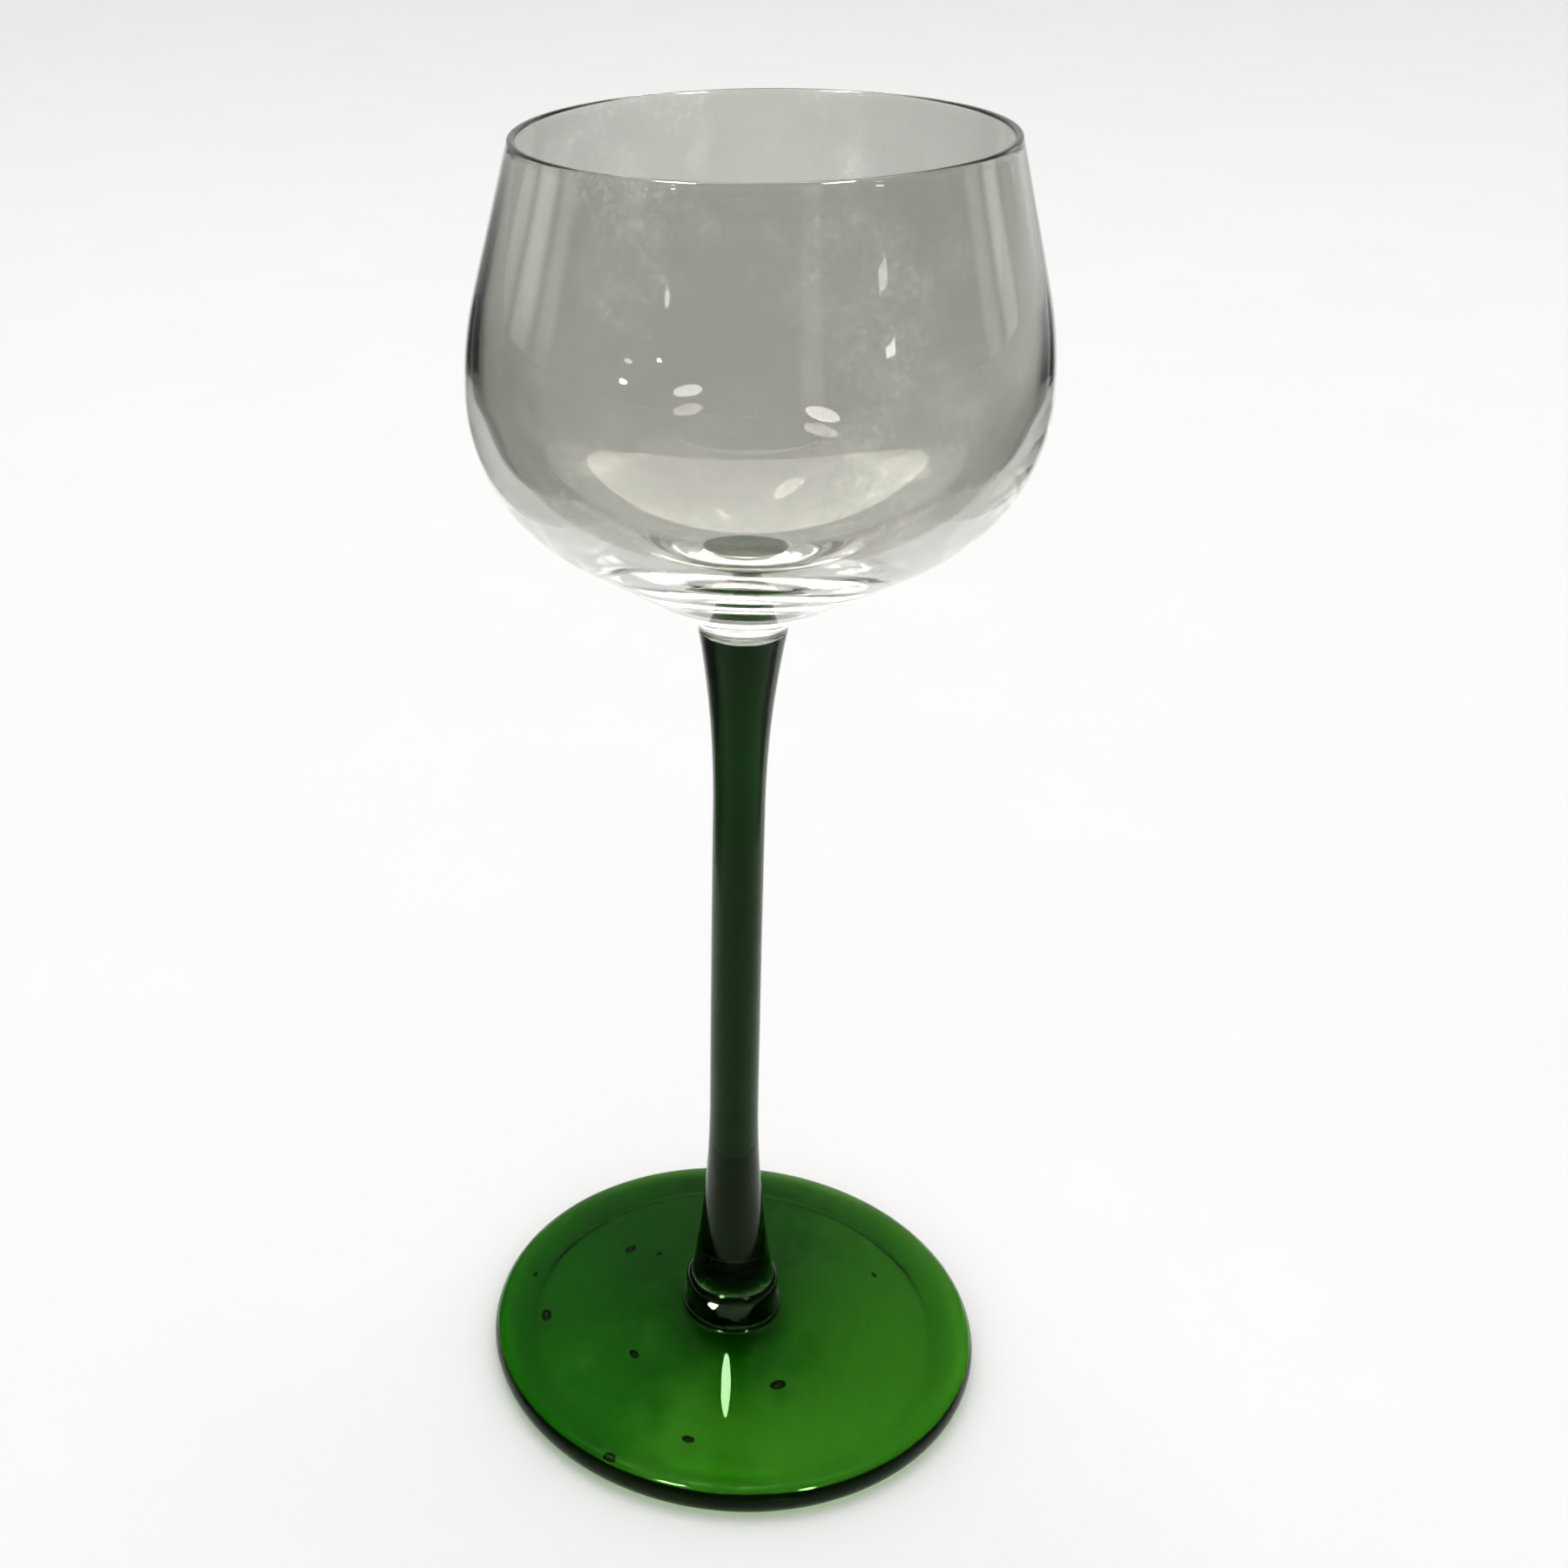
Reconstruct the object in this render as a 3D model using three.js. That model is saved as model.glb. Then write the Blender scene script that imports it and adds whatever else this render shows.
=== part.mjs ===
// A stemmed wine goblet: a clear blown bowl fused to a drawn green stem, which is fused to a green foot.
// Millimetres, +Z up. The goblet stands on z = 0 and its axis is the Z axis.
import * as THREE from 'three';

// Foot: a round disc with a half-round edge, standing on a flat ring that steps down from a shallow hollow
const FOOT_RADIUS = 34.2;
const FOOT_EDGE_THICKNESS = 4;
const STANDING_RING_WIDTH = 3;
const STANDING_RING_STEP = 0.5;
const STANDING_RING_BEVEL = 2;
const HOLLOW_DEPTH = 1.8;
// The upper face climbs from the edge to the crown, and a round-shouldered collar on it carries the stem
const CROWN_RISE = 2.4;
const COLLAR_RISE = 5.6;
const COLLAR_RADIUS = 6.55;
const COLLAR_FILLET = 1;
const COLLAR_CURL = THREE.MathUtils.degToRad(62);

// Stem: a straight rod, drawn out wider at both ends
const STEM_LENGTH = 99.8;
const STEM_RADIUS = 3.3;
const STEM_BASE_RADIUS = 5.8;
const LOWER_FLARE_LENGTH = 30;
const STEM_TOP_RADIUS = 5.4;
const UPPER_FLARE_LENGTH = 24;

// Bowl: heights are measured from its seat on the stem
const BOWL_HEIGHT = 58.2;
const RIM_RADIUS = 27.6;
const BELLY_RADIUS = 33.15;
const BELLY_HEIGHT = 30.5;
const ROOT_FILLET = 2.5;
const BELLY_CURVE = 20.7;
const SHOULDER_CURVE = 45;
const LIP_THICKNESS = 0.9;
const WALL_THICKNESS = 1.5;
const BASE_THICKNESS = 8.5;
// The inside curves sit this much higher than the outside ones, so the wall thickens towards the base
const INSIDE_LIFT = 1.5;

// Facets round the wide pieces and round the stem
const WIDE_FACETS = 60;
const STEM_FACETS = 40;

const CROWN_HEIGHT = FOOT_EDGE_THICKNESS + CROWN_RISE;
const SEAT_HEIGHT = CROWN_HEIGHT + COLLAR_RISE;
const SEAM_HEIGHT = SEAT_HEIGHT + STEM_LENGTH;

const QUARTER = Math.PI / 2;

// Points along an arc in the half plane of the outline: x is the distance from the axis, y is the height.
function arc(centre, radius, from, to, steps) {
  const points = [];
  for (let i = 0; i <= steps; i += 1) {
    const angle = from + ((to - from) * i) / steps;
    const x = centre.x + radius * Math.cos(angle);
    const y = centre.y + radius * Math.sin(angle);
    points.push(new THREE.Vector2(Math.max(x, 0), y));
  }
  return points;
}

// Angle at which the line from a point outside a circle touches that circle.
function touchAngle(centre, radius, point) {
  const reach = point.clone().sub(centre);
  return Math.atan2(reach.y, reach.x) - Math.acos(Math.min(1, radius / reach.length()));
}

// Radius of an arc that rises by the given height over the given half chord.
function radiusFromRise(halfChord, rise) {
  return (halfChord * halfChord + rise * rise) / (2 * rise);
}

function footOutline() {
  const edge = FOOT_EDGE_THICKNESS / 2;
  const edgeCentre = new THREE.Vector2(FOOT_RADIUS - edge, edge);
  const hollowRadius = edgeCentre.x - STANDING_RING_WIDTH - STANDING_RING_BEVEL;
  const hollow = radiusFromRise(hollowRadius, HOLLOW_DEPTH - STANDING_RING_STEP);
  const hollowCentre = new THREE.Vector2(0, HOLLOW_DEPTH - hollow);
  const hollowSpread = Math.asin(hollowRadius / hollow);

  // The collar's side stands upright on its fillet and curls in to meet the stem
  const filletCentre = new THREE.Vector2(COLLAR_RADIUS + COLLAR_FILLET, CROWN_HEIGHT + COLLAR_FILLET);
  const curl = (COLLAR_RADIUS - STEM_BASE_RADIUS) / (1 - Math.cos(COLLAR_CURL));
  const curlCentre = new THREE.Vector2(COLLAR_RADIUS - curl, SEAT_HEIGHT - curl * Math.sin(COLLAR_CURL));

  return [
    ...arc(hollowCentre, hollow, QUARTER, QUARTER - hollowSpread, 6),
    new THREE.Vector2(hollowRadius + STANDING_RING_BEVEL, 0),
    ...arc(edgeCentre, edge, -QUARTER, QUARTER, 8),
    ...arc(filletCentre, COLLAR_FILLET, 3 * QUARTER, 2 * QUARTER, 4),
    ...arc(curlCentre, curl, 0, COLLAR_CURL, 5),
    new THREE.Vector2(0, SEAT_HEIGHT),
  ];
}

function stemOutline() {
  const lower = radiusFromRise(LOWER_FLARE_LENGTH, STEM_BASE_RADIUS - STEM_RADIUS);
  const lowerCentre = new THREE.Vector2(STEM_RADIUS + lower, SEAT_HEIGHT + LOWER_FLARE_LENGTH);
  const lowerSpread = Math.asin(LOWER_FLARE_LENGTH / lower);
  const upper = radiusFromRise(UPPER_FLARE_LENGTH, STEM_TOP_RADIUS - STEM_RADIUS);
  const upperCentre = new THREE.Vector2(STEM_RADIUS + upper, SEAM_HEIGHT - UPPER_FLARE_LENGTH);
  const upperSpread = Math.asin(UPPER_FLARE_LENGTH / upper);
  return [
    new THREE.Vector2(0, SEAT_HEIGHT),
    ...arc(lowerCentre, lower, Math.PI + lowerSpread, Math.PI, 8),
    ...arc(upperCentre, upper, Math.PI, Math.PI - upperSpread, 7),
    new THREE.Vector2(0, SEAM_HEIGHT),
  ];
}

function bowlOutline() {
  const root = new THREE.Vector2(STEM_TOP_RADIUS + ROOT_FILLET, SEAM_HEIGHT);
  const belly = new THREE.Vector2(BELLY_RADIUS - BELLY_CURVE, SEAM_HEIGHT + BELLY_HEIGHT);
  const shoulder = new THREE.Vector2(BELLY_RADIUS - SHOULDER_CURVE, SEAM_HEIGHT + BELLY_HEIGHT);

  // The underside is a cone that touches the root fillet and the belly, at this angle to the axis
  const span = belly.clone().sub(root);
  const lean = Math.atan2(span.x, span.y) + Math.asin((ROOT_FILLET + BELLY_CURVE) / span.length());

  // The lip is half round, and straight flanks run from it down to the shoulder outside and inside
  const lip = LIP_THICKNESS / 2;
  const lipCentre = new THREE.Vector2(RIM_RADIUS - lip, SEAM_HEIGHT + BOWL_HEIGHT - lip);
  const lipOutside = new THREE.Vector2(RIM_RADIUS, lipCentre.y);
  const lipInside = new THREE.Vector2(RIM_RADIUS - LIP_THICKNESS, lipCentre.y);
  const insideShoulder = new THREE.Vector2(shoulder.x, shoulder.y + INSIDE_LIFT);
  const innerShoulder = SHOULDER_CURVE - WALL_THICKNESS;
  const outerTouch = touchAngle(shoulder, SHOULDER_CURVE, lipOutside);
  const innerTouch = touchAngle(insideShoulder, innerShoulder, lipInside);

  // Inside, the round bottom is one arc about the axis that runs smoothly into the belly
  const insideBelly = new THREE.Vector2(belly.x, belly.y + INSIDE_LIFT);
  const innerBelly = BELLY_CURVE - WALL_THICKNESS;
  const depth = insideBelly.y - SEAM_HEIGHT - BASE_THICKNESS;
  const bottom = (insideBelly.x ** 2 + depth ** 2 - innerBelly ** 2) / (2 * (depth - innerBelly));
  const bottomCentre = new THREE.Vector2(0, SEAM_HEIGHT + BASE_THICKNESS + bottom);
  const join = Math.atan2(insideBelly.y - bottomCentre.y, insideBelly.x);

  return [
    new THREE.Vector2(0, SEAM_HEIGHT),
    ...arc(root, ROOT_FILLET, Math.PI, Math.PI - lean, 5),
    ...arc(belly, BELLY_CURVE, -lean, 0, 10),
    ...arc(shoulder, SHOULDER_CURVE, 0, outerTouch, 4).slice(1),
    ...arc(lipCentre, lip, 0, Math.PI, 6),
    ...arc(insideShoulder, innerShoulder, innerTouch, 0, 4),
    ...arc(insideBelly, innerBelly, 0, join, 8).slice(1),
    ...arc(bottomCentre, bottom, join, -QUARTER, 8).slice(1),
  ];
}

// Turns an outline about the axis into one named glass piece.
function turn(name, outline, facets, material) {
  const geometry = new THREE.LatheGeometry(outline, facets);
  geometry.rotateX(QUARTER);
  const mesh = new THREE.Mesh(geometry, material);
  mesh.name = name;
  return mesh;
}

function clearGlass() {
  return new THREE.MeshStandardMaterial({
    color: 0xb9b8b2,
    roughness: 0.06,
    metalness: 0,
    transparent: true,
    opacity: 0.4,
  });
}

function greenGlass(color) {
  return new THREE.MeshStandardMaterial({
    color,
    roughness: 0.08,
    metalness: 0,
    transparent: true,
    opacity: 0.85,
  });
}

const goblet = new THREE.Group();
goblet.name = 'goblet';
goblet.add(turn('foot', footOutline(), WIDE_FACETS, greenGlass(0x2a7a14)));
goblet.add(turn('stem', stemOutline(), STEM_FACETS, greenGlass(0x17330f)));
goblet.add(turn('bowl', bowlOutline(), WIDE_FACETS, clearGlass()));

export default goblet;
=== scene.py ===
"""A stemmed wine goblet in fused glass: a clear bowl on a drawn green stem and a green foot."""

import logging
import math
from dataclasses import dataclass, field, replace
from enum import Enum
from typing import Any, ClassVar, Mapping, Sequence, Union

import bmesh
import bpy
from mathutils import Matrix, Vector


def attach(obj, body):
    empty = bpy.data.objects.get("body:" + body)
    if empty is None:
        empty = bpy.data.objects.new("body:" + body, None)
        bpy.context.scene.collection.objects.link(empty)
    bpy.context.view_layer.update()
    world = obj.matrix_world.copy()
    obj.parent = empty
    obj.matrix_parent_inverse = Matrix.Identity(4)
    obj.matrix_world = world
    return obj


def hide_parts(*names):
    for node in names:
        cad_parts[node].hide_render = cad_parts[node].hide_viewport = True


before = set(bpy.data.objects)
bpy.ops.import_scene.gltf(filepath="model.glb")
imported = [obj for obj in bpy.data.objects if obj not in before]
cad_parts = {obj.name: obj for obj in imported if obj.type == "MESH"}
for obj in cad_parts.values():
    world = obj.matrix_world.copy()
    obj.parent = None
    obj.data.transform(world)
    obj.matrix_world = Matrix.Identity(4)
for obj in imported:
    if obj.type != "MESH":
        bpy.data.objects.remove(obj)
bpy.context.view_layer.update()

LOG = logging.getLogger("goblet")
MM = 0.001
QUARTER = math.pi / 2

# Heights in millimetres that no piece reaches
BEYOND_RIM = (900.0, 901.0)

Colour = tuple[float, float, float]
Point = tuple[float, float]
Feed = Union["Shade", float, Sequence[float]]


class Slot(Enum):
    """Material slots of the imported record."""

    CLEAR = "clear_glass"
    GREEN = "green_glass"


class Piece(Enum):
    """Names of the goblet's dressed pieces."""

    FOOT = "goblet_foot"
    STEM = "goblet_stem"
    BOWL = "goblet_bowl"


CLEAR_PIECES = (Piece.BOWL,)
GREEN_PIECES = (Piece.FOOT, Piece.STEM)


class Operation(Enum):
    """Math node operations behind the operators of a Shade."""

    ADD = "ADD"
    SUBTRACT = "SUBTRACT"
    MULTIPLY = "MULTIPLY"
    DIVIDE = "DIVIDE"


class Shade:
    """One output of a material's node tree, with arithmetic that adds Math nodes."""

    def __init__(self, bench: "Bench", socket: bpy.types.NodeSocket) -> None:
        """Keeps the socket and the bench whose tree it belongs to."""
        self.bench = bench
        self.socket = socket

    def _math(self, operation: Operation, first: Feed, second: Feed) -> "Shade":
        """Adds one Math node.

        Args:
            operation: What the node works out.
            first: Left-hand side.
            second: Right-hand side.

        Returns:
            The node's result.
        """
        settings = {"operation": operation.value}
        return self.bench.node("ShaderNodeMath", settings, {0: first, 1: second})

    def __add__(self, other: Feed) -> "Shade":
        """Sum of this value and another."""
        return self._math(Operation.ADD, self, other)

    def __radd__(self, other: Feed) -> "Shade":
        """Sum of a number and this value."""
        return self._math(Operation.ADD, other, self)

    def __sub__(self, other: Feed) -> "Shade":
        """This value less another."""
        return self._math(Operation.SUBTRACT, self, other)

    def __rsub__(self, other: Feed) -> "Shade":
        """A number less this value."""
        return self._math(Operation.SUBTRACT, other, self)

    def __mul__(self, other: Feed) -> "Shade":
        """Product of this value and another."""
        return self._math(Operation.MULTIPLY, self, other)

    def __rmul__(self, other: Feed) -> "Shade":
        """Product of a number and this value."""
        return self._math(Operation.MULTIPLY, other, self)

    def __truediv__(self, other: Feed) -> "Shade":
        """This value divided by another."""
        return self._math(Operation.DIVIDE, self, other)

    def __rtruediv__(self, other: Feed) -> "Shade":
        """A number divided by this value."""
        return self._math(Operation.DIVIDE, other, self)


class Bench:
    """Lays out the node tree of one material or of the studio's air."""

    def __init__(self, owner: Union[bpy.types.Material, bpy.types.World]) -> None:
        """Starts the owner's node tree afresh.

        Args:
            owner: The material or world whose tree it is.
        """
        owner.use_nodes = True
        self.tree = owner.node_tree
        self.tree.nodes.clear()

    def node(
        self,
        kind: str,
        settings: Mapping[str, Any] | None = None,
        sockets: Mapping[str | int, Feed] | None = None,
        output: str | int = 0,
    ) -> Shade:
        """Adds one node.

        Args:
            kind: The node's type name.
            settings: Attributes of the node, set before any socket.
            sockets: Values or links of the node's inputs, by name or number.
            output: Which output to hand back.

        Returns:
            The chosen output, ready for arithmetic. A node without outputs hands back its own input.
        """
        made = self.tree.nodes.new(kind)
        for key, value in (settings or {}).items():
            setattr(made, key, value)
        for key, value in (sockets or {}).items():
            if isinstance(value, Shade):
                self.tree.links.new(value.socket, made.inputs[key])
            else:
                made.inputs[key].default_value = value
        ends = made.outputs or made.inputs
        return Shade(self, ends[output])

    def millimetres(self, stretch: Sequence[float] = (1.0, 1.0, 1.0)) -> Shade:
        """Place on the goblet in millimetres.

        Args:
            stretch: Factor on each axis, for marks that run along or round the piece.

        Returns:
            The scaled place, a vector.
        """
        place = self.node("ShaderNodeTexCoord", output="Object")
        factors = [1.0 / MM * s for s in stretch]
        return self.node("ShaderNodeVectorMath", {"operation": "MULTIPLY"}, {0: place, 1: factors})

    def noise(self, place: Shade, scale: float, detail: float = 2.0, roughness: float = 0.5) -> Shade:
        """Soft noise between 0 and 1.

        Args:
            place: Where on the piece.
            scale: Marks per millimetre.
            detail: Number of finer layers.
            roughness: Weight of the finer layers.

        Returns:
            The noise value.
        """
        sockets = {"Vector": place, "Scale": scale, "Detail": detail, "Roughness": roughness}
        return self.node("ShaderNodeTexNoise", {"normalize": True}, sockets)

    def mask(self, value: Shade, low: float, high: float) -> Shade:
        """Smooth step from 0 at low to 1 at high.

        Args:
            value: What the step follows.
            low: Where it starts.
            high: Where it ends.

        Returns:
            The step.
        """
        sockets = {"Value": value, "From Min": low, "From Max": high}
        return self.node("ShaderNodeMapRange", {"interpolation_type": "SMOOTHSTEP"}, sockets)

    def blend(self, factor: Shade, first: Colour, second: Colour) -> Shade:
        """Mixes two colours.

        Args:
            factor: Share of the second colour.
            first: Colour where the factor is 0.
            second: Colour where the factor is 1.

        Returns:
            The mixed colour.
        """
        sockets = {"Factor": factor, 6: (*first, 1.0), 7: (*second, 1.0)}
        return self.node("ShaderNodeMix", {"data_type": "RGBA"}, sockets, output=2)

    def bump(self, height: Shade, depth: float) -> Shade:
        """Turns a height into a shading normal.

        Args:
            height: Height of the relief, 0 to 1.
            depth: Depth of the relief in millimetres.

        Returns:
            The normal.
        """
        sockets = {"Height": height, "Strength": 1.0, "Distance": depth * MM}
        return self.node("ShaderNodeBump", sockets=sockets)

    def along(self, place: Shade, way: Sequence[float]) -> Shade:
        """How far a place lies along a direction, times the direction's length."""
        sockets = {0: place, 1: tuple(way)}
        return self.node("ShaderNodeVectorMath", {"operation": "DOT_PRODUCT"}, sockets, output="Value")

    def height(self) -> Shade:
        """Height on the goblet in millimetres."""
        return self.node("ShaderNodeSeparateXYZ", sockets={0: self.millimetres()}, output="Z")


@dataclass(frozen=True)
class ClearGlass:
    """Clear blown glass that has been handled: finger smears and dried drops. Its grey tint is painted
    shade, darkening the view through it as a darker room behind would.
    """

    name: str = "clear_blown_glass"
    # Painted shade: a grey tint standing in for a darker room seen through the glass
    painted_shade_tint: Colour = (0.57, 0.565, 0.53)
    marked: Colour = (0.86, 0.86, 0.83)
    refraction: float = 1.5
    polish: float = 0.01
    smear_scale: float = 0.055
    smear_band: tuple[float, float] = (0.46, 0.72)
    smear_cover: float = 0.25
    smear_roughness: float = 0.04
    drop_scale: float = 0.9
    drop_band: tuple[float, float] = (0.52, 0.66)
    drop_cover: float = 0.55
    drop_roughness: float = 0.14
    streak_stretch: Sequence[float] = (0.16, 0.16, 0.012)
    streak_depth: float = 0.008
    ring_stretch: Sequence[float] = (0.01, 0.01, 0.42)
    ring_depth: float = 0.03
    ring_heights: tuple[float, float] = (116.0, 127.0)

    def material(self, joint: bool = False) -> bpy.types.Material:
        """Makes the material.

        Args:
            joint: True for the inside face where the glass is fused to the next piece.

        Returns:
            The finished material.
        """
        glass = bpy.data.materials.new(self.name + "_joint" * joint)
        bench = Bench(glass)
        place = bench.millimetres()
        smudge = bench.noise(place, self.smear_scale, detail=4.0, roughness=0.6)
        spatter = bench.noise(place, self.drop_scale, detail=3.0, roughness=0.7)
        smear = bench.mask(smudge, *self.smear_band)
        drops = bench.mask(spatter, *self.drop_band)
        marks = smear * drops
        cover = smear * self.smear_cover + marks * self.drop_cover
        roughness = self.polish + self.smear_roughness * smear + self.drop_roughness * marks
        streaks = bench.noise(bench.millimetres(self.streak_stretch), 1.0)
        near_base = 1.0 - bench.mask(bench.height(), *self.ring_heights)
        rings = bench.noise(bench.millimetres(self.ring_stretch), 1.0) * near_base
        relief = streaks * self.streak_depth + rings * self.ring_depth
        sockets = {
            # Painted shade: the grey tint, lighter where smears and dried drops mark the glass
            "Base Color": bench.blend(cover, self.painted_shade_tint, self.marked),
            "Roughness": roughness,
            "IOR": self.refraction,
            "Transmission Weight": 1.0,
            "Alpha": 0.0 if joint else 1.0,
            "Normal": bench.bump(relief, 1.0),
        }
        surface = bench.node("ShaderNodeBsdfPrincipled", sockets=sockets)
        bench.node("ShaderNodeOutputMaterial", sockets={"Surface": surface})
        return glass


@dataclass(frozen=True)
class GreenGlass:
    """Green glass, coloured right through, with the fine lines left by drawing or spinning it hot. Its
    colour is mottled at random, with painted shade drifting across it.
    """

    name: str
    lines: Sequence[float]
    passed: Colour = (0.33, 0.57, 0.10)
    density: float = 780.0
    face: Colour = (0.93, 1.0, 0.91)
    # Darker colour of the random mottle, and of the painted shade that the drift adds
    mottled_and_shaded: Colour = (0.62, 0.72, 0.56)
    refraction: float = 1.51
    mirror: Colour = (0.16, 0.36, 0.12)
    film: Colour = (0.36, 0.52, 0.26)
    film_cover: float = 0.1
    polish: float = 0.015
    wear_scale: float = 0.7
    wear_band: tuple[float, float] = (0.5, 0.75)
    wear_roughness: float = 0.07
    line_depth: float = 0.05
    swell_scale: float = 0.12
    swell_depth: float = 0.05
    cloud_scale: float = 0.06
    cloud_band: tuple[float, float] = (0.36, 0.64)
    # Painted shade: per millimetre, how much darker the colour gets along each axis
    shade_drift: Sequence[float] = (0.0, 0.0, 0.0)
    # Painted light: from the first height in millimetres up, the piece turns to its lighter colour,
    # fully so above the second
    painted_light_above: tuple[float, float] = BEYOND_RIM

    def material(self, joint: bool = False) -> bpy.types.Material:
        """Makes the material.

        Args:
            joint: True for the inside face where the glass is fused to the next piece.

        Returns:
            The finished material.
        """
        glass = bpy.data.materials.new(self.name + "_joint" * joint)
        bench = Bench(glass)
        place = bench.millimetres()
        mottle = bench.noise(place, self.cloud_scale, detail=4.0, roughness=0.6)
        # Painted shade: the drift darkens the mottle steadily across the piece
        cloud = mottle + bench.along(place, self.shade_drift)
        rubbing = bench.noise(place, self.wear_scale, detail=4.0, roughness=0.65)
        wear = bench.mask(rubbing, *self.wear_band)
        lines = bench.noise(bench.millimetres(self.lines), 1.0, detail=3.0)
        swell = bench.noise(place, self.swell_scale, detail=1.0)
        first, second = (self.film, self.face) if joint else (self.face, self.mottled_and_shaded)
        # Painted light: the piece is its lighter colour above the given heights
        pale = bench.mask(bench.height(), *self.painted_light_above)
        shade = bench.mask(cloud, *self.cloud_band) * (1.0 - pale)
        sockets = {
            "Base Color": bench.blend(shade, first, second),
            "Roughness": self.polish + self.wear_roughness * wear * cloud,
            "IOR": self.refraction,
            "Specular Tint": (*self.mirror, 1.0),
            "Transmission Weight": 0.0 if joint else 1.0,
            "Alpha": self.film_cover if joint else 1.0,
            "Normal": bench.bump(lines * self.line_depth + swell * self.swell_depth, 1.0),
        }
        surface = bench.node("ShaderNodeBsdfPrincipled", sockets=sockets)
        colour = {"Color": (*self.passed, 1.0), "Density": self.density}
        inside = bench.node("ShaderNodeVolumeAbsorption", sockets=colour)
        bench.node("ShaderNodeOutputMaterial", sockets={"Surface": surface, "Volume": inside})
        return glass


@dataclass(frozen=True)
class SoftCard:
    """Dark grey gauze, thinning out towards its edges."""

    name: str = "soft_card"
    dark: Colour = (0.018, 0.018, 0.017)
    worn: Colour = (0.04, 0.04, 0.038)
    roughness: float = 0.9
    fibre_scale: float = 0.08
    end_fade: float = 0.9
    top_fade: float = 0.8

    def material(self, middle: Sequence[float], length: float, height: float) -> bpy.types.Material:
        """Makes the material.

        Args:
            middle: Middle of the card, in metres.
            length: Length of the card along Y, in metres.
            height: Height of the card, in metres.

        Returns:
            The finished material.
        """
        card = bpy.data.materials.new(self.name)
        bench = Bench(card)
        place = bench.millimetres()
        fibre = bench.noise(place, self.fibre_scale, detail=4.0, roughness=0.6)
        along = (bench.along(place, (0.0, MM, 0.0)) - middle[1]) / (length / 2.0)
        above = (bench.along(place, (0.0, 0.0, MM)) - middle[2]) / (height / 2.0)
        inside_ends = bench.mask(1.0 - along * along, 0.0, self.end_fade)
        thinning = inside_ends * bench.mask(1.0 - above * above, 0.0, self.top_fade)
        sockets = {
            "Base Color": bench.blend(fibre, self.dark, self.worn),
            "Roughness": self.roughness,
            "Alpha": thinning,
        }
        surface = bench.node("ShaderNodeBsdfPrincipled", sockets=sockets)
        bench.node("ShaderNodeOutputMaterial", sockets={"Surface": surface})
        return card


@dataclass(frozen=True)
class PalePaint:
    """Matt pale paint of the studio floor."""

    name: str = "pale_floor_paint"
    light: Colour = (0.84, 0.84, 0.835)
    dark: Colour = (0.81, 0.81, 0.805)
    roughness: float = 0.7
    cloud_scale: float = 0.02

    def material(self) -> bpy.types.Material:
        """Makes the material.

        Returns:
            The finished material.
        """
        paint = bpy.data.materials.new(self.name)
        bench = Bench(paint)
        cloud = bench.noise(bench.millimetres(), self.cloud_scale, detail=3.0)
        sockets = {"Base Color": bench.blend(cloud, self.dark, self.light), "Roughness": self.roughness}
        surface = bench.node("ShaderNodeBsdfPrincipled", sockets=sockets)
        bench.node("ShaderNodeOutputMaterial", sockets={"Surface": surface})
        return paint


@dataclass
class Outline:
    """Half section of a turned piece: (distance from the axis, height), in millimetres."""

    NEAR_AXIS: ClassVar[float] = 1e-6
    SAME_POINT: ClassVar[float] = 1e-4
    points: list[Point] = field(default_factory=list)
    joints: set[int] = field(default_factory=set)

    def to(self, radius: float, height: float, joint: bool = False) -> "Outline":
        """Adds one corner.

        Args:
            radius: Distance from the axis.
            height: Height above the floor.
            joint: True if the stretch up to here is fused to the next piece.

        Returns:
            The outline, for the next stretch.
        """
        if joint:
            self.joints.add(len(self.points))
        self.points.append((radius, height))
        return self

    def arc(self, centre: Point, radius: float, start: float, end: float, steps: int) -> "Outline":
        """Adds an arc of a circle, unless its first point is there already.

        Args:
            centre: Distance from the axis and height of the arc's centre.
            radius: Radius of the arc.
            start: First angle, from outwards towards up, in radians.
            end: Last angle.
            steps: Number of stretches.

        Returns:
            The outline, for the next stretch.
        """
        for step in range(steps + 1):
            angle = start + (end - start) * step / steps
            out = centre[0] + radius * math.cos(angle)
            point = (out if out > self.NEAR_AXIS else 0.0, centre[1] + radius * math.sin(angle))
            if not self.points or math.dist(self.points[-1], point) > self.SAME_POINT:
                self.points.append(point)
        return self

    def flank(self, end: Point, steps: int) -> "Outline":
        """Adds a straight stretch in short steps, up to one step before its end.

        Args:
            end: Where the stretch leads.
            steps: Number of steps to the end.

        Returns:
            The outline, for the stretch that starts at the end.
        """
        start = self.points[-1]
        for step in range(1, steps):
            share = step / steps
            self.to(start[0] + (end[0] - start[0]) * share, start[1] + (end[1] - start[1]) * share)
        return self

    def corner(self, index: int) -> float:
        """Angle by which the outline turns at one of its points, in radians."""
        before, here, after = (Vector(self.points[i]) for i in (index - 1, index, index + 1))
        return (here - before).angle(after - here, 0.0)


@dataclass(frozen=True)
class Ripple:
    """A soft unevenness that runs round a blown wall."""

    depth: float
    waves: int
    phase: float
    climb: float = 0.0

    def at(self, angle: float, height: float) -> float:
        """How far the wall is drawn in, from 0 to the ripple's depth, in millimetres."""
        return self.depth * 0.5 * (1.0 - math.cos(self.waves * angle + self.phase + self.climb * height))


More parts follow.
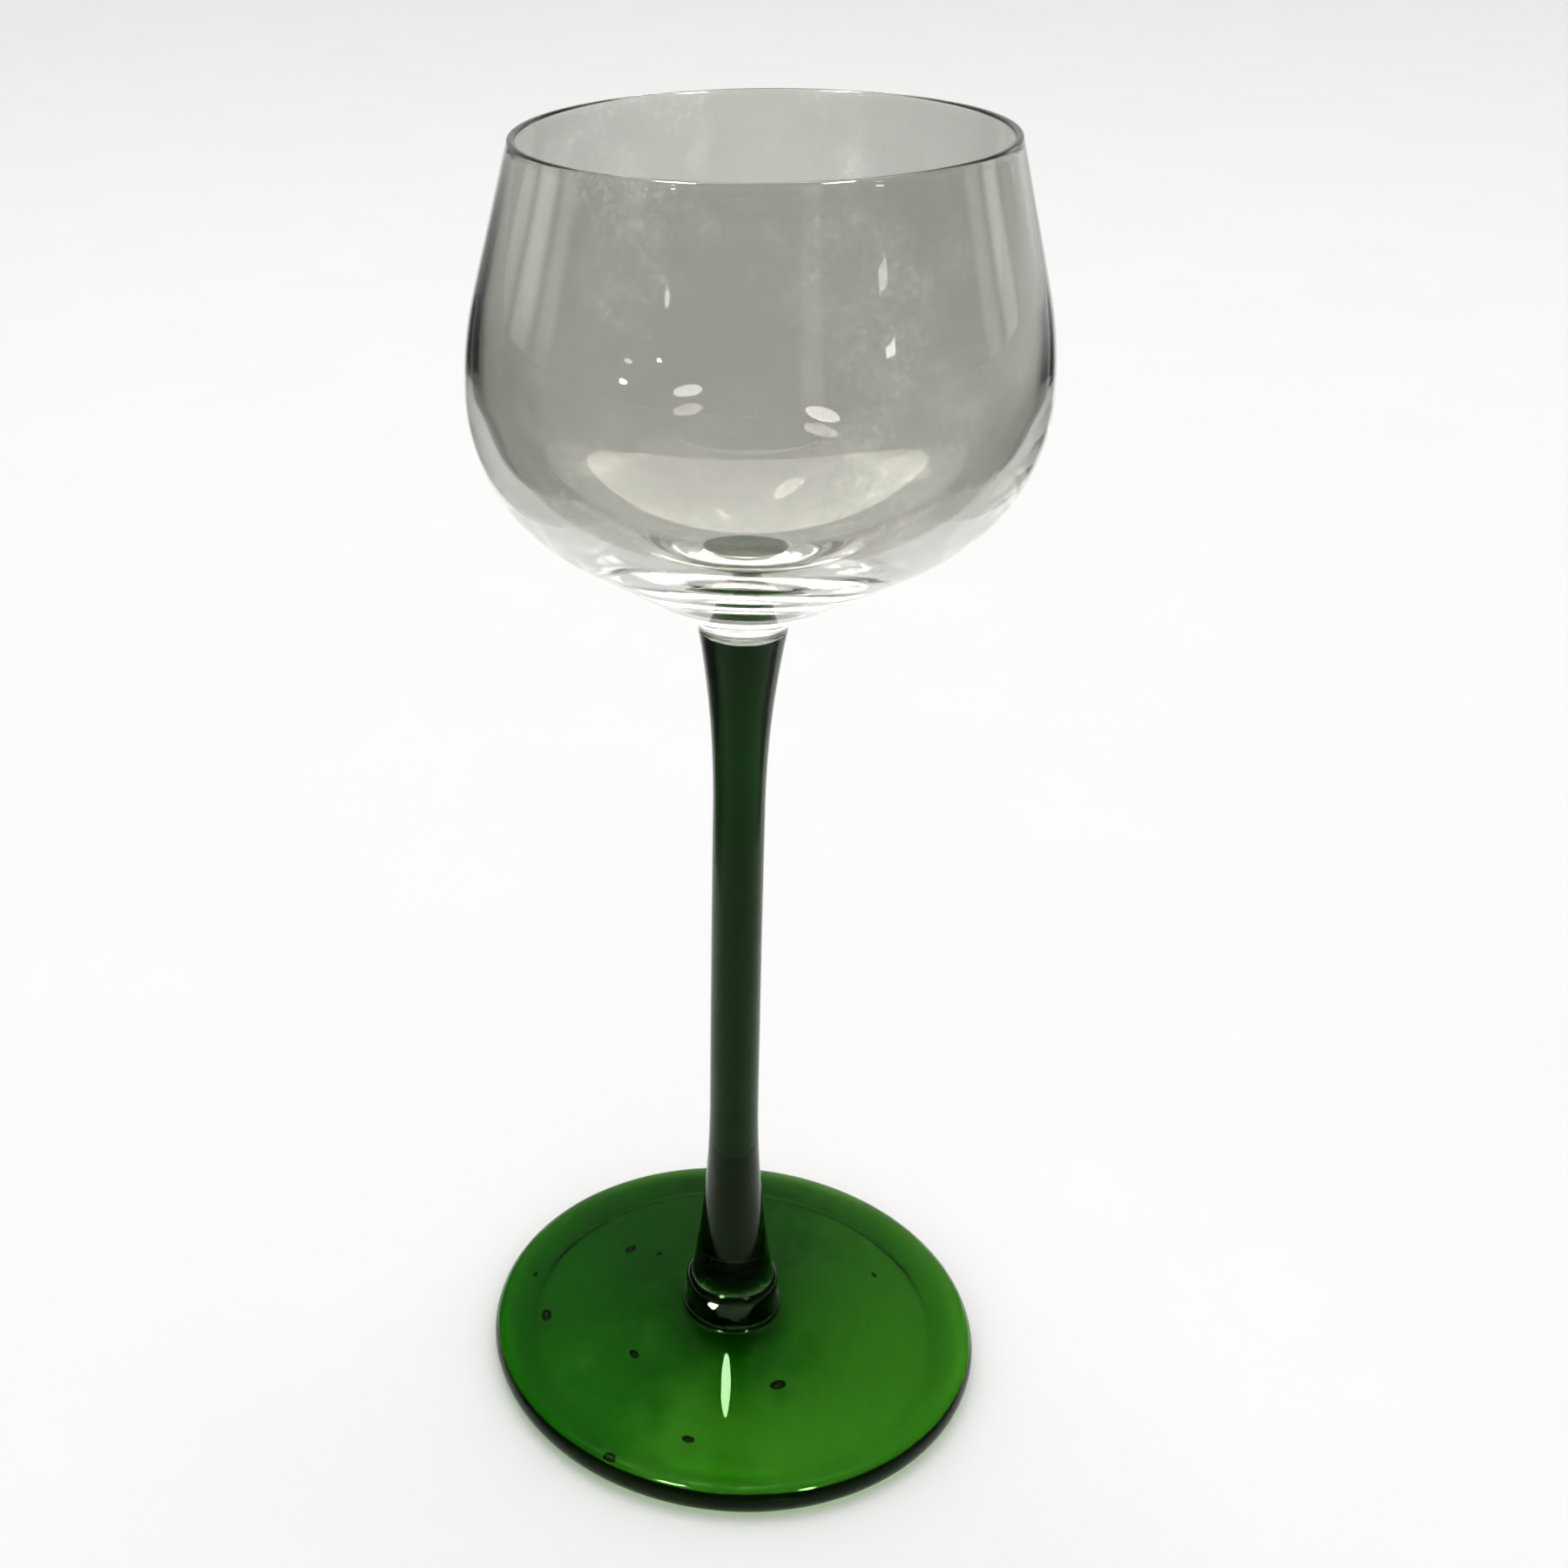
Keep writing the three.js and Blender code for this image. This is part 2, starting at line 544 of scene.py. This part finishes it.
class Turned:
    """A piece of glass turned from an outline about the goblet's axis."""

    SIDES: ClassVar[int] = 240
    CREASE: ClassVar[float] = math.radians(28.0)
    JOINT_GAP: ClassVar[float] = 0.01
    finish: Union[ClearGlass, GreenGlass]

    def outline(self) -> Outline:
        """Half section of the piece."""
        raise NotImplementedError

    def place(self, radius: float, height: float, angle: float) -> Vector:
        """Where a point of the outline goes at an angle round the axis, in millimetres."""
        return Vector((radius * math.cos(angle), radius * math.sin(angle), height))

    def mesh(self, kind: Piece) -> bpy.types.Object:
        """Turns the outline into one closed, smooth mesh.

        Args:
            kind: Which piece it is.

        Returns:
            The piece, in metres in the goblet's frame.
        """
        outline = self.outline()
        shape = bmesh.new()
        rings: list[list[bmesh.types.BMVert]] = []
        for radius, height in outline.points:
            count = self.SIDES if radius > 0.0 else 1
            turns = [2.0 * math.pi * i / self.SIDES for i in range(count)]
            rings.append([shape.verts.new(self.place(radius, height, a) * MM) for a in turns])
        for index, (lower, upper) in enumerate(zip(rings, rings[1:]), 1):
            for i in range(self.SIDES):
                quad = [lower[i % len(lower)], lower[(i + 1) % len(lower)]]
                quad += [upper[(i + 1) % len(upper)], upper[i % len(upper)]]
                face = shape.faces.new(list(dict.fromkeys(quad)))
                face.smooth = True
                face.material_index = int(index in outline.joints)
        for index in range(1, len(rings) - 1):
            if outline.corner(index) > self.CREASE:
                for i, vert in enumerate(rings[index]):
                    follower = rings[index][(i + 1) % self.SIDES]
                    shape.edges.get((vert, follower)).smooth = False
        self.detail(shape)
        data = bpy.data.meshes.new(kind.value)
        shape.to_mesh(data)
        shape.free()
        for joint in (False, True):
            data.materials.append(self.finish.material(joint))
        piece = bpy.data.objects.new(kind.value, data)
        bpy.context.scene.collection.objects.link(piece)
        return piece

    def detail(self, shape: bmesh.types.BMesh) -> None:
        """Adds what isn't turned; plain pieces have nothing to add."""


def settle(piece: bpy.types.Object, node: str, slot: Slot) -> None:
    """Ties a piece to the CAD frame.

    Args:
        piece: The dressed piece.
        node: CAD node that it stands for.
        slot: Record slot whose name is logged with the piece.
    """
    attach(piece, "root")
    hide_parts(node)
    LOG.info("%s: %d faces, %s", piece.name, len(piece.data.polygons), slot.value)


def rise_radius(half_chord: float, rise: float) -> float:
    """Radius of an arc that rises by a height over half its chord."""
    return (half_chord * half_chord + rise * rise) / (2.0 * rise)


@dataclass(frozen=True)
class Seed:
    """A small bubble of air trapped in the glass, drawn out a little as the foot was spun."""

    SKIN: ClassVar[int] = 2
    centre: tuple[float, float, float]
    radius: float
    stretch: float = 1.25
    flatness: float = 0.6

    def add(self, shape: bmesh.types.BMesh) -> None:
        """Adds the bubble's wall, facing into the bubble, to the piece that holds it.

        Args:
            shape: Mesh under construction, in metres.
        """
        around = math.atan2(self.centre[1], self.centre[0]) + QUARTER
        turn = Matrix.Rotation(around, 3, "Z")
        factors = Vector((self.stretch, 1.0 / self.stretch, self.flatness))
        matrix = Matrix.LocRotScale(Vector(self.centre) * MM, turn, factors * (self.radius * MM))
        made = bmesh.ops.create_icosphere(shape, subdivisions=3, radius=1.0, matrix=matrix)
        faces = list({face for vert in made["verts"] for face in vert.link_faces})
        bmesh.ops.reverse_faces(shape, faces=faces)
        for face in faces:
            face.smooth = True
            face.material_index = self.SKIN


@dataclass
class Foot(Turned):
    """Round foot with a half-round edge, standing on a flat ring round a shallow hollow."""

    RING_STEPS: ClassVar[int] = 12
    radius: float = 34.2
    edge_thickness: float = 4.0
    ring_width: float = 3.0
    ring_step: float = 0.5
    ring_bevel: float = 2.0
    hollow_depth: float = 1.8
    crown_rise: float = 2.4
    collar_rise: float = 5.6
    collar_radius: float = 6.55
    collar_fillet: float = 1.0
    collar_curl: float = math.radians(62.0)
    seat_radius: float = 5.8
    seeds: tuple[Seed, ...] = (
        Seed((-26.6, -2.6, 3.4), 0.94),
        Seed((-13.4, -10.2, 4.0), 0.75),
        Seed((6.6, -14.5, 4.0), 0.95),
        Seed((-15.2, 11.8, 3.8), 0.81),
        Seed((20.7, 9.2, 3.6), 0.45),
        Seed((-5.3, -24.6, 3.2), 0.70),
        Seed((-15.6, -27.8, 2.4), 0.75),
        Seed((-10.9, 10.6, 4.2), 0.44),
        Seed((-29.1, 6.3, 3.0), 0.44),
    )
    tooling: tuple[Ripple, ...] = (Ripple(0.14, 5, 0.9, 0.35), Ripple(0.08, 9, 2.2, -0.5))
    seed_skin: Colour = (0.36, 0.55, 0.28)
    finish: GreenGlass = GreenGlass(
        "green_foot_glass",
        lines=(0.05, 0.05, 0.4),
        mottled_and_shaded=(0.48, 0.74, 0.42),
        # Painted shade: the foot is darker towards its left and its back
        shade_drift=(-0.012, 0.004, 0.0),
    )

    @property
    def seat_height(self) -> float:
        """Height of the face that carries the stem."""
        return self.edge_thickness + self.crown_rise + self.collar_rise

    def outline(self) -> Outline:
        """Draws the foot's half section, out along the underside and in along the top.

        Returns:
            The outline, from the axis to the axis.
        """
        edge = self.edge_thickness / 2.0
        ring = self.radius - edge - self.ring_width
        inner = ring - self.ring_bevel
        hollow = rise_radius(inner, self.hollow_depth - self.ring_step)
        spread = math.asin(inner / hollow)
        crown = self.edge_thickness + self.crown_rise
        fillet = self.collar_fillet
        waist = (self.collar_radius + fillet, crown)
        curl = (self.collar_radius - self.seat_radius) / (1.0 - math.cos(self.collar_curl))
        seat = self.seat_height - self.JOINT_GAP
        shoulder = (self.collar_radius - curl, seat - curl * math.sin(self.collar_curl))

        shape = Outline()
        shape.arc((0.0, self.hollow_depth - hollow), hollow, QUARTER, QUARTER - spread, steps=24)
        for step in range(1, self.RING_STEPS + 1):
            share = step / self.RING_STEPS
            fall = share * share * (3.0 - 2.0 * share)
            shape.to(inner + self.ring_bevel * share, self.ring_step * (1.0 - fall))
        shape.to(ring + self.ring_width / 2.0, 0.0)
        shape.arc((self.radius - edge, edge), edge, -QUARTER, QUARTER, steps=28)
        shape.flank(waist, steps=14)
        shape.arc((waist[0], crown + fillet), fillet, 3.0 * QUARTER, 2.0 * QUARTER, steps=12)
        shape.flank((self.collar_radius, shoulder[1]), steps=8)
        shape.arc(shoulder, curl, 0.0, self.collar_curl, steps=20)
        return shape.to(self.seat_radius / 2.0, seat, joint=True).to(0.0, seat, joint=True)

    def place(self, radius: float, height: float, angle: float) -> Vector:
        """Where a point goes: the collar was nipped round by hand, so it isn't quite even.

        Args:
            radius: Distance from the axis, in millimetres.
            height: Height above the floor, in millimetres.
            angle: Angle round the axis, in radians.

        Returns:
            The place in millimetres.
        """
        share = (height - self.edge_thickness - self.crown_rise) / self.collar_rise
        nip = math.sin(math.pi * min(1.0, max(0.0, share))) * min(1.0, radius / self.seat_radius)
        uneven = sum(ripple.at(angle, height) for ripple in self.tooling)
        return super().place(radius - uneven * nip, height, angle)

    def detail(self, shape: bmesh.types.BMesh) -> None:
        """Adds the air seeds trapped in the glass."""
        for seed in self.seeds:
            seed.add(shape)

    def build(self) -> None:
        """Builds, dresses and settles the foot."""
        piece = self.mesh(Piece.FOOT)
        dark = replace(self.finish, name="green_seed_skin", face=self.seed_skin, mottled_and_shaded=self.seed_skin)
        piece.data.materials.append(dark.material())
        settle(piece, "foot", Slot.GREEN)


@dataclass
class Stem(Turned):
    """Drawn rod, flared where it meets the foot and the bowl."""

    foot: Foot
    length: float = 99.8
    radius: float = 3.3
    lower_flare: float = 30.0
    top_radius: float = 5.4
    upper_flare: float = 24.0
    lean: float = 0.7
    finish: GreenGlass = GreenGlass(
        "green_stem_glass",
        lines=(0.9, 0.9, 0.02),
        passed=(0.20, 0.57, 0.04),
        density=1230.0,
        mottled_and_shaded=(0.50, 0.40, 0.50),
        mirror=(0.20, 0.36, 0.16),
        film=(0.10, 0.22, 0.04),
        film_cover=0.35,
        # Darker higher up the stem, with painted light making its top a lighter green
        shade_drift=(0.0, 0.0, 0.004),
        painted_light_above=(78.0, 110.0),
    )

    @property
    def seam_height(self) -> float:
        """Height of the seam between stem and bowl."""
        return self.foot.seat_height + self.length

    def outline(self) -> Outline:
        """Draws the stem's half section, from its foot up.

        Returns:
            The outline, from the axis to the axis.
        """
        base = self.foot.seat_height + self.JOINT_GAP
        top = self.seam_height - self.JOINT_GAP
        lower = rise_radius(self.lower_flare, self.foot.seat_radius - self.radius)
        upper = rise_radius(self.upper_flare, self.top_radius - self.radius)
        low_spread = math.asin(self.lower_flare / lower)
        top_spread = math.asin(self.upper_flare / upper)
        low_centre = (self.radius + lower, base + self.lower_flare)
        top_centre = (self.radius + upper, top - self.upper_flare)
        edge = self.foot.seat_radius
        shape = Outline().to(0.0, base).to(edge / 2.0, base, joint=True).to(edge, base, joint=True)
        shape.arc(low_centre, lower, math.pi + low_spread, math.pi, steps=30)
        shape.flank((self.radius, top_centre[1]), steps=16)
        shape.arc(top_centre, upper, math.pi, math.pi - top_spread, steps=26)
        return shape.to(self.top_radius / 2.0, top, joint=True).to(0.0, top, joint=True)

    def place(self, radius: float, height: float, angle: float) -> Vector:
        """Where a point goes: the rod was fused on leaning a little to one side.

        Args:
            radius: Distance from the axis, in millimetres.
            height: Height above the floor, in millimetres.
            angle: Angle round the axis, in radians.

        Returns:
            The place in millimetres.
        """
        share = (height - self.foot.seat_height) / self.length
        sideways = -self.lean * share * (2.0 - share)
        return super().place(radius, height, angle) + Vector((sideways, 0.0, 0.0))

    def build(self) -> None:
        """Builds, dresses and settles the stem."""
        settle(self.mesh(Piece.STEM), "stem", Slot.GREEN)


@dataclass
class Bowl(Turned):
    """Blown bowl with a round belly, a fire-polished lip and a thick base."""

    stem: Stem
    height: float = 58.2
    rim_radius: float = 27.6
    belly_radius: float = 33.15
    belly_height: float = 30.5
    root_fillet: float = 2.5
    belly_curve: float = 20.7
    shoulder_curve: float = 45.0
    lip: float = 0.9
    wall: float = 1.5
    base: float = 8.5
    inside_lift: float = 1.5
    straight_above: float = 20.0
    ripples: tuple[Ripple, ...] = (
        Ripple(0.10, 3, 0.4),
        Ripple(0.05, 5, 1.9, 0.02),
        Ripple(0.012, 17, 0.0, -0.05),
    )
    finish: ClearGlass = ClearGlass()

    @staticmethod
    def _touch(centre: Point, radius: float, point: Point) -> float:
        """Angle at which the line from a point outside a circle touches it."""
        across, up = point[0] - centre[0], point[1] - centre[1]
        return math.atan2(up, across) - math.acos(min(1.0, radius / math.hypot(across, up)))

    def outline(self) -> Outline:
        """Draws the bowl's half section, up the outside and down the inside.

        Returns:
            The outline, from the axis to the axis.
        """
        seam = self.stem.seam_height
        seat = seam + self.JOINT_GAP
        root = (self.stem.top_radius + self.root_fillet, seat)
        belly = (self.belly_radius - self.belly_curve, seam + self.belly_height)
        shoulder = (self.belly_radius - self.shoulder_curve, belly[1])
        across, up = belly[0] - root[0], belly[1] - root[1]
        curves = self.root_fillet + self.belly_curve
        lean = math.atan2(across, up) + math.asin(curves / math.hypot(across, up))
        drop = self.belly_curve * math.sin(lean)
        cone = (belly[0] + self.belly_curve * math.cos(lean), belly[1] - drop)
        half = self.lip / 2.0
        lip = (self.rim_radius - half, seam + self.height - half)
        inside_belly = (belly[0], belly[1] + self.inside_lift)
        inside_shoulder = (shoulder[0], shoulder[1] + self.inside_lift)
        tight, wide = self.belly_curve - self.wall, self.shoulder_curve - self.wall
        outer = self._touch(shoulder, self.shoulder_curve, (self.rim_radius, lip[1]))
        inner = self._touch(inside_shoulder, wide, (self.rim_radius - self.lip, lip[1]))
        brow = (inside_shoulder[0] + wide * math.cos(inner), inside_shoulder[1] + wide * math.sin(inner))
        depth = self.belly_height + self.inside_lift - self.base
        bottom = (belly[0] ** 2 + depth**2 - tight**2) / (2.0 * (depth - tight))
        middle = (0.0, seam + self.base + bottom)
        join = math.atan2(inside_belly[1] - middle[1], belly[0])

        edge = self.stem.top_radius
        shape = Outline().to(0.0, seat).to(edge / 2.0, seat, joint=True).to(edge, seat, joint=True)
        shape.arc(root, self.root_fillet, math.pi, math.pi - lean, steps=20).flank(cone, steps=12)
        shape.arc(belly, self.belly_curve, -lean, 0.0, steps=36)
        shape.arc(shoulder, self.shoulder_curve, 0.0, outer, steps=16)
        shape.flank((self.rim_radius, lip[1]), steps=14)
        shape.arc(lip, half, 0.0, math.pi, steps=16).flank(brow, steps=14)
        shape.arc(inside_shoulder, wide, inner, 0.0, steps=16)
        shape.arc(inside_belly, tight, 0.0, join, steps=30)
        return shape.arc(middle, bottom, join, -QUARTER, steps=24)

    def place(self, radius: float, height: float, angle: float) -> Vector:
        """Where a point goes: the wall ripples softly, and the base follows the stem to one side.

        Args:
            radius: Distance from the axis, in millimetres.
            height: Height above the floor, in millimetres.
            angle: Angle round the axis, in radians.

        Returns:
            The place in millimetres.
        """
        above = height - self.stem.seam_height - self.JOINT_GAP
        fade = min(1.0, max(0.0, above / self.belly_height))
        drawn_in = sum(ripple.at(angle, above) for ripple in self.ripples) * fade * fade
        righted = math.cos(math.pi * min(1.0, above / self.straight_above))
        sideways = -self.stem.lean * (1.0 + righted) / 2.0
        inward = max(radius - drawn_in * min(1.0, radius / self.rim_radius), 0.0)
        return super().place(inward, height, angle) + Vector((sideways, 0.0, 0.0))

    def build(self) -> None:
        """Builds, dresses and settles the bowl."""
        settle(self.mesh(Piece.BOWL), "bowl", Slot.CLEAR)


class LampForm(Enum):
    """Outline of a lamp's face."""

    BOX = "RECTANGLE"
    ROUND = "ELLIPSE"

    @property
    def fill(self) -> float:
        """Share of its rectangle that the face fills."""
        return math.pi / 4.0 if self is LampForm.ROUND else 1.0


class Reach(Enum):
    """What shows a lamp's light: surfaces lit by it, reflections of it, views of it through glass."""

    ALL = (True, True, True)
    LIT = (True, False, True)
    MIRRORED = (False, True, False)
    GLASS = (False, True, True)
    THROUGH = (False, False, True)


@dataclass(frozen=True)
class Softbox:
    """One soft studio lamp, hung round the spot it is aimed at.

    The bearing is in degrees from the camera's side towards +X, the lift in degrees above level.
    """

    name: str
    bearing: float
    lift: float
    size: tuple[float, float]
    glow: float
    distance: float = 0.8
    aim: tuple[float, float, float] = (0.0, 0.0, 0.14)
    form: LampForm = LampForm.ROUND
    reach: Reach = Reach.ALL
    only: tuple[Piece, ...] = ()

    @property
    def power(self) -> float:
        """Watts that give the lamp's face its glow."""
        return self.glow * math.pi * self.size[0] * self.size[1] * self.form.fill

    def build(self) -> None:
        """Hangs the lamp and turns it towards its aim."""
        turn, lift = math.radians(self.bearing), math.radians(self.lift)
        level = Vector((math.sin(turn), -math.cos(turn), 0.0))
        out = level * math.cos(lift) + Vector((0.0, 0.0, math.sin(lift)))
        lamp = bpy.data.lights.new(self.name, "AREA")
        lamp.shape = self.form.value
        lamp.size, lamp.size_y = self.size
        lamp.energy = self.power
        holder = bpy.data.objects.new(self.name, lamp)
        spot = Matrix.Translation(Vector(self.aim) + out * self.distance)
        holder.matrix_world = spot @ out.to_track_quat("Z", "Y").to_matrix().to_4x4()
        holder.visible_camera = False
        holder.visible_diffuse, holder.visible_glossy, holder.visible_transmission = self.reach.value
        bpy.context.scene.collection.objects.link(holder)
        if self.only:
            lit = bpy.data.collections.new(self.name + "_lit")
            for kind in self.only:
                lit.objects.link(bpy.data.objects[kind.value])
            holder.light_linking.receiver_collection = lit
        LOG.info("lamp %s: %.2f W", self.name, self.power)


@dataclass(frozen=True)
class Window:
    """A tall soft window in the studio wall, seen as a pale streak in the glass.

    The bearing and the half width are in degrees, the bearing from the camera's side towards +X.
    """

    bearing: float
    half_width: float
    glow: float
    sill: tuple[float, float] = (-0.12, 0.0)
    head: tuple[float, float] = (0.16, 0.34)
    fade: tuple[float, float] = (1.4, 0.3)

    def light(self, bench: Bench, level: Shade, up: Shade) -> Shade:
        """Light from the window.

        Args:
            bench: The air's bench.
            level: Level direction, of length 1.
            up: Height of the direction, -1 to 1.

        Returns:
            The window's glow in every direction.
        """
        turn = math.radians(self.bearing)
        near = bench.along(level, (math.sin(turn), -math.cos(turn), 0.0))
        edge, heart = (math.cos(math.radians(self.half_width * share)) for share in self.fade)
        upright = bench.mask(up, *self.sill) * (1.0 - bench.mask(up, *self.head))
        return bench.mask(near, edge, heart) * upright * self.glow


@dataclass(frozen=True)
class StudioAir:
    """Soft light from all round: pale along the horizon, dimmer overhead, with a few tall windows.

    The camera itself sees an even pale backdrop; the windows show only in the glass.
    """

    name: str = "studio_air"
    warmth: Colour = (1.0, 0.995, 0.97)
    horizon: float = 0.62
    zenith: float = 0.28
    backdrop: float = 0.87
    lift: tuple[float, float] = (0.12, 0.5)
    windows: tuple[Window, ...] = (
        Window(-120.0, 5.0, 0.8),
        Window(-105.0, 6.0, 1.6),
        Window(-90.0, 4.0, 0.9),
        Window(100.0, 4.0, 0.8),
        Window(113.0, 5.0, 1.4),
        Window(140.0, 6.0, 1.0),
        Window(22.0, 4.0, 0.7),
    )

    def world(self) -> bpy.types.World:
        """Makes the world.

        Returns:
            The world, ready to be the scene's own.
        """
        air = bpy.data.worlds.new(self.name)
        bench = Bench(air)
        way = bench.node("ShaderNodeTexCoord", output="Generated")
        up = bench.node("ShaderNodeSeparateXYZ", sockets={0: way}, output="Z")
        sockets = {0: way, 1: (1.0, 1.0, 0.0)}
        flat = bench.node("ShaderNodeVectorMath", {"operation": "MULTIPLY"}, sockets)
        level = bench.node("ShaderNodeVectorMath", {"operation": "NORMALIZE"}, {0: flat})
        strength = self.horizon + (self.zenith - self.horizon) * bench.mask(up, *self.lift)
        for window in self.windows:
            strength = strength + window.light(bench, level, up)
        seen = bench.node("ShaderNodeLightPath", output="Is Camera Ray")
        strength = strength * (1.0 - seen) + self.backdrop * seen
        sockets = {"Color": (*self.warmth, 1.0), "Strength": strength}
        light = bench.node("ShaderNodeBackground", sockets=sockets)
        bench.node("ShaderNodeOutputWorld", sockets={"Surface": light})
        return air


@dataclass(frozen=True)
class Flag:
    """A dark card beside the goblet, out of the picture: clear glass shows it along its edges."""

    name: str
    middle: tuple[float, float, float]
    length: float
    height: float
    gauze: SoftCard = SoftCard()

    def build(self) -> None:
        """Stands the card up, seen only in the glass."""
        shape = bmesh.new()
        bmesh.ops.create_grid(shape, x_segments=2, y_segments=8, size=0.5)
        stand = Matrix.Translation(self.middle) @ Matrix.Rotation(QUARTER, 4, "Y")
        shape.transform(stand @ Matrix.Diagonal((self.height, self.length, 1.0, 1.0)))
        data = bpy.data.meshes.new(self.name)
        shape.to_mesh(data)
        shape.free()
        data.materials.append(self.gauze.material(self.middle, self.length, self.height))
        card = bpy.data.objects.new(self.name, data)
        card.visible_camera = card.visible_diffuse = card.visible_shadow = False
        bpy.context.scene.collection.objects.link(card)
        LOG.info("card %s stands", self.name)


@dataclass
class Studio:
    """Pale floor, soft light all round and lamps."""

    floor_radius: float = 6.0
    floor_sides: int = 96
    floor_drop: float = 0.00006
    bounces: int = 32
    paint: PalePaint = PalePaint()
    air: StudioAir = StudioAir()
    flags: tuple[Flag, ...] = (
        Flag("left_flag", (-0.13, 0.09, 0.075), 0.40, 0.19),
        Flag("right_flag", (0.15, 0.12, 0.055), 0.36, 0.15),
    )
    lamps: tuple[Softbox, ...] = (
        # Soft light over the whole stage
        Softbox("ceiling", 180.0, 90.0, (14.0, 14.0), 0.74, 1.8, (0.0, 0.3, 0.0), reach=Reach.LIT),
        Softbox("overhead", 180.0, 70.0, (1.3, 0.5), 2.4, 1.2),
        Softbox("back_panel", 180.0, 33.0, (2.4, 1.5), 2.0, 1.5, reach=Reach.THROUGH),
        # Small lamps that sparkle in the bowl, and a broad one that lies as a pale pool in its bottom
        Softbox("glint_a", 46.0, 55.0, (0.17, 0.12), 110.0, reach=Reach.GLASS, only=CLEAR_PIECES),
        Softbox("glint_b", -72.0, 68.0, (0.22, 0.12), 110.0, reach=Reach.GLASS, only=CLEAR_PIECES),
        Softbox("glint_c", -49.0, 4.0, (0.05, 0.02), 25.0, reach=Reach.GLASS, only=CLEAR_PIECES),
        Softbox("glint_d", -36.0, 11.0, (0.03, 0.008), 25.0, reach=Reach.GLASS, only=CLEAR_PIECES),
        Softbox(
            "glint_e",
            bearing=51.0,
            lift=10.2,
            size=(0.05, 0.012),
            glow=12.0,
            form=LampForm.BOX,
            reach=Reach.GLASS,
            only=CLEAR_PIECES,
        ),
        Softbox("pool", 180.0, 49.0, (1.5, 1.2), 9.5, 1.2, reach=Reach.THROUGH, only=CLEAR_PIECES),
        # Light that falls through the green glass, and sparks along the edge of the foot
        Softbox("foot_light", 0.0, 75.0, (0.5, 0.5), 55.0, reach=Reach.THROUGH, only=GREEN_PIECES),
        Softbox("spark_a", 42.0, 47.0, (0.08, 0.16), 200.0, reach=Reach.MIRRORED, only=GREEN_PIECES),
        Softbox("spark_b", -40.0, 64.0, (0.11, 0.20), 200.0, reach=Reach.MIRRORED, only=GREEN_PIECES),
        # Small lamps close to the collar: a glint and a sheen on it, and a streak on the foot before it
        Softbox(
            "collar_glint",
            bearing=-46.7,
            lift=-42.2,
            size=(0.0023, 0.0011),
            glow=90.0,
            distance=0.003,
            aim=(-0.00256, -0.00603, 0.01064),
            reach=Reach.MIRRORED,
            only=(Piece.FOOT,),
        ),
        Softbox(
            "collar_sheen",
            bearing=4.0,
            lift=-38.0,
            size=(0.020, 0.007),
            glow=1.0,
            distance=0.004,
            aim=(0.0004, -0.00655, 0.0092),
            reach=Reach.MIRRORED,
            only=(Piece.FOOT,),
        ),
        Softbox(
            "strip",
            bearing=180.0,
            lift=-6.7,
            size=(0.0016, 0.0188),
            glow=40.0,
            distance=0.01,
            aim=(-0.00065, -0.01513, 0.02282),
            reach=Reach.MIRRORED,
            only=(Piece.FOOT,),
        ),
    )

    def build(self) -> None:
        """Lays the floor, fills the air with light and hangs the lamps."""
        shape = bmesh.new()
        level = Matrix.Translation((0.0, 0.0, -self.floor_drop))
        bmesh.ops.create_circle(
            shape, cap_ends=True, radius=self.floor_radius, segments=self.floor_sides, matrix=level
        )
        data = bpy.data.meshes.new("studio_floor")
        shape.to_mesh(data)
        shape.free()
        data.materials.append(self.paint.material())
        floor = bpy.data.objects.new("studio_floor", data)
        bpy.context.scene.collection.objects.link(floor)
        bpy.context.scene.world = self.air.world()
        for fitting in (*self.flags, *self.lamps):
            fitting.build()
        paths = bpy.context.scene.cycles
        paths.max_bounces = paths.glossy_bounces = paths.transmission_bounces = self.bounces
        paths.transparent_max_bounces = self.bounces


@dataclass(frozen=True)
class Viewpoint:
    """The photograph's camera, as measured from the outlines of rim, stem and foot."""

    distance: float = 226.36
    height: float = 210.62
    pitch: float = math.radians(27.375)
    yaw: float = math.radians(-6.25)
    roll: float = math.radians(1.464)
    focal: float = 2335.5
    centre: tuple[float, float] = (600.0, 870.0)
    image: float = 1800.0
    sensor: float = 36.0
    nearest: float = 0.01

    def build(self) -> None:
        """Sets up the camera and makes it the scene's own."""
        right = Vector((1.0, 0.0, 0.0))
        down = Vector((0.0, -math.sin(self.pitch), -math.cos(self.pitch)))
        ahead = Vector((0.0, math.cos(self.pitch), -math.sin(self.pitch)))
        right, ahead = (
            right * math.cos(self.yaw) - ahead * math.sin(self.yaw),
            right * math.sin(self.yaw) + ahead * math.cos(self.yaw),
        )
        right, down = (
            right * math.cos(self.roll) - down * math.sin(self.roll),
            right * math.sin(self.roll) + down * math.cos(self.roll),
        )
        data = bpy.data.cameras.new("camera")
        data.sensor_width = self.sensor
        data.lens = self.focal / self.image * self.sensor
        data.shift_x = 0.5 - self.centre[0] / self.image
        data.shift_y = self.centre[1] / self.image - 0.5
        data.clip_start = self.nearest
        camera = bpy.data.objects.new("camera", data)
        turn = Matrix((right, -down, -ahead)).transposed().to_4x4()
        camera.matrix_world = Matrix.Translation((0.0, -self.distance * MM, self.height * MM)) @ turn
        bpy.context.scene.collection.objects.link(camera)
        bpy.context.scene.camera = camera


def main() -> None:
    """Builds the goblet from the floor up, then the studio and the camera."""
    logging.basicConfig(level=logging.INFO, format="%(name)s: %(message)s")
    foot = Foot()
    stem = Stem(foot)
    bowl = Bowl(stem)
    for part in (foot, stem, bowl):
        part.build()
    Studio().build()
    Viewpoint().build()
    bpy.context.scene.view_settings.view_transform = "Standard"


if __name__ == "__main__":
    main()
